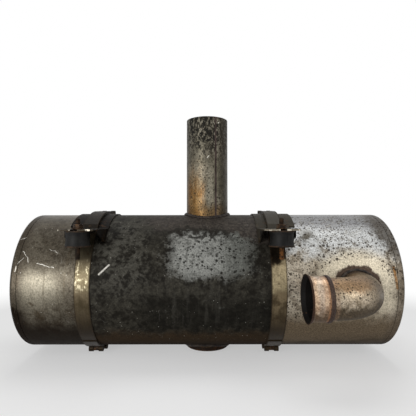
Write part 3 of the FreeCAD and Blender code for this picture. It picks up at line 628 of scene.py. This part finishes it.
# painted shade on the underside of the elbow
painted_low_shade = (up + (mottle - 0.5) * 0.8).step(0.10, -0.45)
colour = colour.coat((0.040, 0.028, 0.016), painted_low_shade * 0.92)
colour = colour.coat((0.130, 0.092, 0.055), fine.step(0.54, 0.66) * 0.5)
base = (y + (mottle - 0.5) * 0.012).step(-0.174, -0.160)
colour = colour.coat((0.060, 0.042, 0.029), base * 0.85)
blue = (x - elbow_end_x - 0.014).away(0.0).step(0.006, 0.002)
colour = colour.coat((0.190, 0.120, 0.078), blue * 0.5)
pitted = place.pits(0.0046, 0.80, 0.42).most(place.pits(0.0080, 0.55, 0.38))
pitted = pitted * (up + (mottle - 0.5) * 2.4).step(-0.35, 0.35).most(0.22)
colour = colour.coat((0.030, 0.021, 0.013), pitted * 0.9)
round_bend = bend_r - (x - bend_x).length(y - bend_y)
off_line = x.step(bend_x - 0.0005, bend_x + 0.0005)
off_line = off_line * round_bend + (1 - off_line) * (y - elbow_leg_y)
soot_in = off_line.length(z - inlet_z).step(0.0372, 0.0367) * y.step(bend_y + 0.001, bend_y)
colour = colour.coat((0.0060, 0.0050, 0.0045), soot_in).shade(grain.step(0.28, 0.72) * 0.8 + 0.6)
covered = pitted.most(soot_in).most(base * 0.5)
bare = (0.85 - covered * 0.75) * (1 - painted_low_shade * 0.6)
lay_finish(elbow_steel, colour, mottle * 0.25 + 0.26 + covered.most(painted_low_shade) * 0.3, bare,
           grain * 0.35 - pitted * 0.8, 0.00030)
dress(elbow_steel, "inlet_elbow")

adapter_steel, place = new_finish("adapter_steel", 0.1)
x, y, z = place.split()
up = (z - inlet_z) / elbow_r
mottle = place.cloud(0.014, 4.0, 0.6)
fine = place.cloud(0.006, 4.0, 0.65)
grain = place.cloud(0.0026, 3.0)
colour = mottle.step(0.4, 0.62).mix((0.360, 0.235, 0.150), (0.540, 0.395, 0.270))
rubbed = (x + (mottle - 0.5) * 0.014).band(0.2465, 0.2560, 0.003)
colour = colour.coat((0.400, 0.350, 0.290), rubbed * 0.5)
# painted shade on the underside of the adapter
painted_low_shade = (up + (mottle - 0.5) * 1.0).step(-0.10, -0.65)
colour = colour.coat((0.085, 0.056, 0.034), painted_low_shade * 0.92)
colour = colour.coat((0.250, 0.125, 0.062), (x + (mottle - 0.5) * 0.006).step(0.2610, 0.2655) * 0.8)
ring = (x + (fine - 0.5) * 0.004).step(0.2655, 0.2672)
colour = colour.coat((0.050, 0.034, 0.028), ring)
colour = colour.coat((0.120, 0.070, 0.045), fine.step(0.55, 0.66) * 0.45)
lip = (x + (mottle - 0.5) * 0.003).step(0.2395, 0.2368)
colour = colour.coat((0.036, 0.017, 0.010), lip)
inside = (y - elbow_leg_y).length(z - inlet_z) - (0.2420 - x).most(0.0) * 0.525
inside = inside.step(0.0397, 0.0390)
colour = colour.coat((0.0050, 0.0040, 0.0035), inside)
specks = place.pits(0.0050, 0.45, 0.36) * mottle.step(0.40, 0.56)
colour = colour.coat((0.070, 0.036, 0.020), specks * 0.75).shade(grain.step(0.28, 0.72) * 0.7 + 0.65)
covered = inside.most(ring * 0.4).most(lip * 0.6)
lay_finish(adapter_steel, colour, mottle * 0.2 + 0.26 + covered.most(painted_low_shade) * 0.3, 0.85 - covered * 0.80,
           grain * 0.35 - specks * 0.5, 0.0002)
dress(adapter_steel, "inlet_adapter")

weld_round("elbow_weld", Vector((0, -1, 0)), inlet_x, drum_axis_z - inlet_z, elbow_r)


# Saddles. Brackets pressed from 3 mm mild steel that lie on the drum under the straps and reach out as
# shelves over the rubber isolators. Black and brown with age, with painted shade under the shelves and a
# painted highlight all along their front edges, which are also worn bright in places.
shelf_front_y = 0.2035

saddle_steel, place = new_finish("saddle_steel", 0.05)
x, y, z = place.split()
mottle = place.cloud(0.02, 4.0, 0.6)
grain = place.cloud(0.0028, 3.0)
right_side = x.step(-0.01, 0.01)
colour = right_side.mix((0.0035, 0.0024, 0.0014), (0.030, 0.026, 0.019))
blotches = right_side.mix((0.009, 0.0062, 0.0036), (0.050, 0.044, 0.033))
colour = colour.coat(blotches, mottle.step(0.50, 0.64) * 0.7)
colour = colour.coat((0.050, 0.027, 0.013), place.cloud(0.012).step(0.58, 0.68) * 0.6)
# painted shade under the shelves
under_shelf_shade = z.step(0.0318, 0.0310)
colour = colour.coat((0.0060, 0.0050, 0.0040), under_shelf_shade * y.away(0.0).step(0.150, 0.160) * 0.85)
edge = y.away(0.0).step(shelf_front_y - 0.0012, shelf_front_y - 0.0004) * z.step(0.0306, 0.0320)
tip = (x + clamp_x).away(-0.040).step(0.020, 0.004) * (1 - right_side) * 0.22
worn = edge * (place.stretch(1, 1, 0.4).cloud(0.012, 3.0) + tip + right_side * 0.05).step(0.54, 0.62)
# the front edges lighter all along as a painted highlight, with brighter worn patches on them
colour = colour.coat(right_side.mix((0.040, 0.032, 0.022), (0.160, 0.138, 0.105)), edge)
colour = colour.coat((0.480, 0.440, 0.360), worn).shade(grain * 0.6 + 0.7)
lay_finish(saddle_steel, colour, mottle * 0.2 + 0.46 - worn * 0.1, worn * 0.6 + 0.10, grain + mottle * 0.6,
           0.0002)
dress(saddle_steel, "saddle_left", "saddle_right")


# Straps, bolts and nuts. Each strap is two halves of 32 x 2 mm strip with folded ends, drawn together
# by T-bolts through round bars. The strip has a bronze stain and is rubbed bright in places; its colour
# also carries a painted highlight across its front, painted glints, and painted shade under the rubber
# blocks, along its edges and low down. Bolts, bars and nuts are rusty.
strap_half = 0.016

strap_steel, place = new_finish("strap_steel", 0.1)
x, turn, arc, flat = drum_spot(place)
side = turn.away(0.0)
front = turn.step(0, 10)
right_side = x.step(-0.01, 0.01)
off = (x - clamp_x).away(0.0).least((x + clamp_x).away(0.0))      # from the strap's middle line
mottle = place.cloud(0.022, 4.0, 0.6)
fine = place.cloud(0.008, 4.0, 0.65)
grain = place.cloud(0.0026, 3.0)
drawn = flat.stretch(1, 0.06, 1).cloud(0.0035, 2.0)
colour = mottle.step(0.38, 0.62).mix(right_side.mix((0.060, 0.046, 0.026), (0.060, 0.044, 0.025)),
                                     right_side.mix((0.100, 0.078, 0.048), (0.160, 0.122, 0.072)))
over_top = side.step(52, 40)
colour = colour.coat(right_side.mix((0.008, 0.006, 0.0035), (0.036, 0.032, 0.024)), over_top)
# painted shadow of the rubber block on the strap
painted_rubber_shadow = (side + (mottle - 0.5) * 14).band(50, 70, 4)
colour = colour.coat(right_side.mix((0.060, 0.050, 0.032), (0.0085, 0.0060, 0.0040)), painted_rubber_shadow * 0.9)
# a bright band across the front, partly polish and partly a painted highlight; painted glints on the left
# strap
rubbed = (side + (mottle - 0.5) * 16).band(72, 92, 4)
polish_and_highlight = right_side.mix((0.130, 0.108, 0.066), (0.400, 0.330, 0.200))
colour = colour.coat(polish_and_highlight, rubbed * front * (fine.step(0.42, 0.58) * 0.5 + 0.42))
glint = rubbed * (fine + drawn * 0.4).step(0.74, 0.86) * (1 - right_side) * front
colour = colour.coat((0.460, 0.410, 0.280), glint)
# painted shade, darker towards the bottom of the strap
low = (side + (mottle - 0.5) * 20).step(98, 130)
colour = colour.coat(right_side.mix((0.014, 0.0085, 0.0040), (0.020, 0.013, 0.007)), low * 0.92)
# painted shade along both edges of the strip
edges = off.step(strap_half - 0.0028, strap_half - 0.0006)
colour = colour.coat((0.018, 0.012, 0.007), edges * 0.75)
stains = place.pits(0.010, 0.35, 0.4)
colour = colour.coat((0.040, 0.024, 0.012), stains.most(fine.step(0.56, 0.66) * 0.6) * 0.6)
colour = colour.shade(grain * 0.6 + drawn * 0.6 + 0.40)
lay_finish(strap_steel, colour, mottle * 0.2 + 0.30 + edges * 0.15 + over_top * 0.15,
           0.85 - edges * 0.3 - over_top * 0.65 - low * 0.4, grain * 0.5 + drawn * 0.5, 0.00015)
dress(strap_steel, *[f"strap_{half}_{side}" for half in ("front", "rear") for side in ("left", "right")])

fastener_steel, place = new_finish("fastener_steel", 0.1)
mottle = place.cloud(0.007, 4.0, 0.6)
grain = place.cloud(0.0016, 3.0)
colour = mottle.step(0.4, 0.62).mix((0.016, 0.010, 0.0065), (0.064, 0.035, 0.017))
colour = colour.coat((0.110, 0.095, 0.075), place.cloud(0.004, 2.0).step(0.62, 0.72) * 0.6)
colour = colour.shade(grain * 0.6 + 0.7)
lay_finish(fastener_steel, colour, grain * 0.2 + 0.45, mottle * 0.3 + 0.1, grain + mottle, 0.0002)
dress(fastener_steel, "strap_nuts", "stud_nuts", "stud_washers",
      *[f"trunnion_{where}_{side}" for where in ("top", "bottom") for side in ("left", "right")])


thread_steps = 20                               # in each turn of a thread


def turned_bar(radius, length, chamfer, chamfer_rise):
    """A round bar up from the origin. Its chamfered end stands this much above its length."""
    bpy.ops.object.select_all(action="DESELECT")
    bpy.ops.mesh.primitive_cylinder_add(vertices=32, radius=radius, depth=length,
                                        location=(0, 0, length / 2))
    bar = bpy.context.active_object
    bpy.ops.object.transform_apply(location=True, rotation=False, scale=False)
    pick(bar, "FACE", lambda middle: middle.z > length * 0.99)
    bpy.ops.mesh.inset(thickness=chamfer, depth=0.0)
    bpy.ops.transform.translate(value=(0, 0, chamfer_rise))
    bpy.ops.object.mode_set(mode="OBJECT")
    return bar


def threaded_rod(radius, pitch, length, plain):
    """A rod up from the origin with a rolled thread that starts after its plain shank."""
    root_r = radius - 0.6 * pitch
    core = turned_bar(root_r, length, root_r * 0.2, root_r * 0.16)
    shank = turned_bar(radius, plain, radius * 0.12, radius * 0.12)
    turns = int((length - plain) / pitch) - 1
    bpy.ops.object.select_all(action="DESELECT")
    bpy.ops.mesh.primitive_plane_add(size=1.0)
    coil = bpy.context.active_object
    pick(coil, "FACE", lambda middle: True)
    bpy.ops.transform.resize(value=(radius - root_r + 0.0002, pitch * 0.84, 1.0))
    bpy.ops.mesh.delete(type="ONLY_FACE")
    pick(coil, "EDGE", lambda middle: middle.x > (radius - root_r) * 0.4)
    bpy.ops.transform.resize(value=(1.0, 0.22, 1.0))
    bpy.ops.object.mode_set(mode="OBJECT")
    coil.data.transform(Matrix.Translation(((radius + root_r - 0.0002) / 2, 0, plain + pitch * 0.5))
                        @ Matrix.Rotation(math.pi / 2, 4, "X"))
    winding = coil.modifiers.new("winding", "SCREW")
    winding.axis, winding.angle, winding.screw_offset = "Z", 2 * math.pi, pitch
    winding.iterations, winding.steps, winding.render_steps = turns, thread_steps, thread_steps
    bpy.ops.object.modifier_apply(modifier="winding")
    bpy.ops.object.mode_set(mode="EDIT")
    bpy.ops.mesh.select_all(action="DESELECT")
    bpy.ops.mesh.select_mode(type="EDGE")
    bpy.ops.mesh.select_non_manifold()
    bpy.ops.mesh.edge_face_add()
    bpy.ops.mesh.select_all(action="SELECT")
    bpy.ops.mesh.normals_make_consistent(inside=False)
    bpy.ops.object.mode_set(mode="OBJECT")
    rod = join([core, shank, coil])
    bpy.ops.object.shade_smooth_by_angle(angle=math.radians(35))
    return rod


bolt_r, bolt_pitch, bolt_length, bolt_plain = 0.003, 0.001, 0.0505, 0.012
cross_r, cross_half = 0.0053, 0.015             # the bar across a T-bolt's head
bolt_ends = {"top": ((0.05601, 0.07168), (0.08516, 0.05808)),        # (y, z) of the head and the bar
             "bottom": ((-0.04418, -0.24059), (-0.00839, -0.24658))}
t_rod = threaded_rod(bolt_r, bolt_pitch, bolt_length, bolt_plain)
bpy.ops.object.select_all(action="DESELECT")
bpy.ops.mesh.primitive_cylinder_add(vertices=40, radius=cross_r, depth=2 * cross_half,
                                    rotation=(0, math.pi / 2, 0))
t_bar = bpy.context.active_object
bpy.ops.object.transform_apply(location=True, rotation=True, scale=True)
pick(t_bar, "FACE", lambda middle: abs(middle.x) > cross_half * 0.9)
bpy.ops.mesh.bevel(offset=0.0009, segments=3, affect="EDGES")
bpy.ops.object.mode_set(mode="OBJECT")
t_bolt = join([t_rod, t_bar])
bpy.ops.object.shade_smooth_by_angle(angle=math.radians(35))
for where, (head, bar) in bolt_ends.items():
    way = Vector((0, bar[0] - head[0], bar[1] - head[1])).normalized()
    for side, side_x in (("left", -clamp_x), ("right", clamp_x)):
        turn = Matrix((Vector((1, 0, 0)), way.cross(Vector((1, 0, 0))), way)).transposed().to_4x4()
        bolt = copy_at(t_bolt, Matrix.Translation((side_x, *head)) @ turn)
        fit_piece(bolt, f"clamp_bolt_{where}_{side}", fastener_steel)
        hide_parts(f"t_bolt_{where}_{side}")
bpy.data.objects.remove(t_bolt)


# Isolators. Rubber blocks moulded and bonded between two round plates, each plate with an M10 stud.
# The rubber is black and satin with a thin flash line down each side of the mould; plates and studs
# are rusty.
stud_y = 0.179
stud_r, stud_pitch = 0.005, 0.0015
stud_length, stud_plain = 0.0245, 0.0005        # out of the plate's face
plate_r, plate_wall = 0.0255, 0.0025
block_low, block_high = 0.0025, 0.0295
block_r, waist_r = 0.0245, 0.0230
flash_side = math.radians(17)                   # right of the block's front
flash_half, flash_high = 0.0004, 0.0004

stud_steel, place = new_finish("stud_steel", 0.1)
x, _, z = place.split()
mottle = place.cloud(0.008, 4.0, 0.6)
grain = place.cloud(0.0016, 3.0)
colour = mottle.step(0.4, 0.62).mix((0.012, 0.0080, 0.0055), (0.040, 0.023, 0.013))
colour = colour.coat((0.170, 0.070, 0.020), z.step(-0.001, -0.004) * x.step(0.0, 0.1)
                     * mottle.step(0.36, 0.56) * 0.85)
colour = colour.shade(grain * 0.6 + 0.7)
lay_finish(stud_steel, colour, grain * 0.2 + 0.5, mottle * 0.3, grain + mottle, 0.00018)

rubber_black, place = new_finish("isolator_rubber", 0.12)
_, _, z = place.split()
dusty = place.cloud(0.018, 3.0)
grain = place.cloud(0.0012, 2.0)
colour = dusty.step(0.42, 0.66).mix((0.0035, 0.0033, 0.0030), (0.0085, 0.0080, 0.0070))
colour = colour.coat((0.020, 0.017, 0.013), z.away(0.016).step(0.0118, 0.0132) * 0.5)
lay_finish(rubber_black, colour, dusty * 0.2 + 0.40, 0.0, grain * 0.5 + dusty, 0.00012)

stud = threaded_rod(stud_r, stud_pitch, stud_length + plate_wall / 2, plate_wall / 2 + stud_plain)
bpy.ops.object.select_all(action="DESELECT")
bpy.ops.mesh.primitive_cylinder_add(vertices=72, radius=plate_r, depth=plate_wall,
                                    location=(0, 0, -plate_wall / 2))
plate = bpy.context.active_object
bpy.ops.object.transform_apply(location=True, rotation=False, scale=False)
pick(plate, "FACE", lambda middle: abs(middle.z + plate_wall / 2) > plate_wall * 0.45)
bpy.ops.mesh.bevel(offset=0.0005, segments=2, affect="EDGES")
bpy.ops.object.mode_set(mode="OBJECT")
stud.data.transform(Matrix.Translation((0, 0, -plate_wall / 2)))
upper_stud = join([stud, plate])
bpy.ops.object.shade_smooth_by_angle(angle=math.radians(35))

bpy.ops.object.select_all(action="DESELECT")
bpy.ops.mesh.primitive_circle_add(vertices=96, radius=block_r, fill_type="NGON",
                                  location=(0, 0, block_low))
block = bpy.context.active_object
bpy.ops.object.transform_apply(location=True, rotation=False, scale=False)
pick(block, "FACE", lambda middle: True)
block_steps = 14
block_height = block_high - block_low
sag = (block_r - waist_r) / (block_height / 2) ** 2


def block_radius(level):
    return waist_r + sag * (level - block_height / 2) ** 2


for i in range(block_steps):
    low_r, high_r = (block_radius(block_height * (i + k) / block_steps) for k in (0, 1))
    bpy.ops.mesh.extrude_region_move(TRANSFORM_OT_translate={"value": (0, 0, block_height / block_steps)})
    bpy.ops.transform.resize(value=(high_r / low_r, high_r / low_r, 1.0))
for opposite in (0.0, math.pi):
    flash = Vector((math.sin(flash_side + opposite), -math.cos(flash_side + opposite), 0))
    # the upright edges nearest to the mould's joint
    pick(block, "EDGE", lambda middle: block_low + 0.0002 < middle.z < block_high - 0.0002
         and middle.xy.normalized().dot(flash.xy) > math.cos(math.radians(1.9))
         and middle.xy.length > waist_r * 0.99995)
    bpy.ops.object.mode_set(mode="OBJECT")
    for edge in block.data.edges:
        a, b = (block.data.vertices[k].co for k in edge.vertices)
        if edge.select and abs(a.z - b.z) < 0.0005:
            edge.select = False
    bpy.ops.object.mode_set(mode="EDIT")
    bpy.ops.mesh.bevel(offset=flash_half, segments=1, affect="EDGES")
    bpy.ops.mesh.select_mode(type="FACE")
    bpy.ops.mesh.extrude_region_shrink_fatten(TRANSFORM_OT_shrink_fatten={"value": flash_high})
bpy.ops.mesh.select_all(action="SELECT")
bpy.ops.mesh.normals_make_consistent(inside=False)
bpy.ops.object.mode_set(mode="OBJECT")
bpy.ops.object.shade_smooth_by_angle(angle=math.radians(35))

over = Matrix.Rotation(math.pi, 4, "X")
for row, row_y in (("front", -stud_y), ("rear", stud_y)):
    for side, side_x in (("left", -clamp_x), ("right", clamp_x)):
        spot = f"{row}_{side}"
        top = copy_at(upper_stud, Matrix.Translation((side_x, row_y, block_high + plate_wall)))
        fit_piece(top, "upper_stud_" + spot, stud_steel)
        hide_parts("isolator_upper_stud_" + spot)
        foot = copy_at(upper_stud, Matrix.Translation((side_x, row_y, 0)) @ over)
        fit_piece(foot, "lower_stud_" + spot, stud_steel)
        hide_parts("isolator_lower_stud_" + spot)
        mirror = Matrix.Identity(4) if row == "front" else Matrix.Rotation(math.pi, 4, "Z")
        rubber = copy_at(block, Matrix.Translation((side_x, row_y, 0)) @ mirror)
        fit_piece(rubber, "rubber_block_" + spot, rubber_black)
        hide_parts("isolator_rubber_" + spot)
bpy.data.objects.remove(upper_stud)
bpy.data.objects.remove(block)


# Inside. Baffles and perforated tubes of aluminised steel, black with soot; only seen through the
# outlet and the inlet.
inner_steel, place = new_finish("inner_steel", 0.1)
mottle = place.cloud(0.03, 4.0, 0.6)
grain = place.cloud(0.003, 3.0)
colour = mottle.step(0.4, 0.62).mix((0.012, 0.011, 0.010), (0.045, 0.041, 0.036)).shade(grain * 0.5 + 0.75)
lay_finish(inner_steel, colour, grain * 0.2 + 0.5, mottle * 0.6 + 0.1, grain, 0.0002)
dress(inner_steel, "baffle_left", "baffle_right", "transfer_tube_front", "transfer_tube_rear",
      "return_tube_upper", "return_tube_lower", "inlet_inner_tube")
